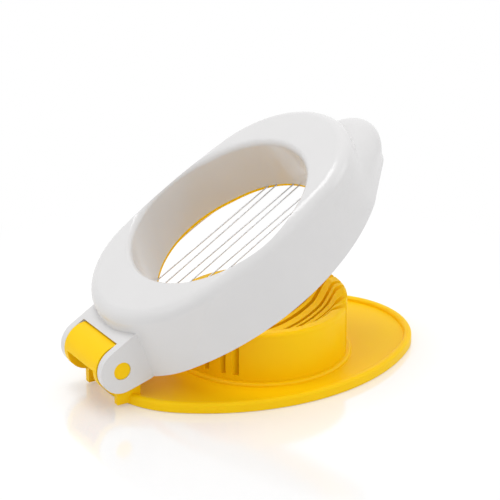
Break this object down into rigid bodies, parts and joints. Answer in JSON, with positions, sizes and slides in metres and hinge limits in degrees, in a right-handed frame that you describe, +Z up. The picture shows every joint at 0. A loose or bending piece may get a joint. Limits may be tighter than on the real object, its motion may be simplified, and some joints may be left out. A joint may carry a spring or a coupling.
{
  "type": "egg slicer",
  "caption": "Hand slicer for boiled eggs: an oval tray with a slotted round cup, and a hinged ring-shaped lid strung with cutting wires that pass down through the slots.",
  "frame": {"origin": "on the floor under the middle of the whole part", "axes": "+X from the hinge to the lid's nose, +Y along the hinge axis, +Z up"},
  "size_m": [0.1384, 0.0902, 0.0894],
  "materials": {
    "yellow_plastic": "satin gloss",
    "white_plastic": "gloss",
    "wire_steel": "drawn wire",
    "crimp_steel": "plain"
  },
  "bodies": {
    "base": {"base_tray": "yellow_plastic", "slotted_cup": "yellow_plastic"},
    "lid": {"lid_shell": "white_plastic", "wire_frame": "yellow_plastic", "wire_loop_1": "wire_steel", "wire_crimps_1": "crimp_steel", "wire_loop_2": "wire_steel", "wire_crimps_2": "crimp_steel", "wire_loop_3": "wire_steel", "wire_crimps_3": "crimp_steel", "wire_loop_4": "wire_steel", "wire_crimps_4": "crimp_steel", "wire_loop_5": "wire_steel", "wire_crimps_5": "crimp_steel"}
  },
  "joints": [
    {"name": "lid_hinge", "type": "hinge", "parent": "base", "child": "lid", "pos_m": [-0.0603, 0, 0.01545], "axis": [0, -1, 0], "range_deg": [-30.5, 78]}
  ]
}
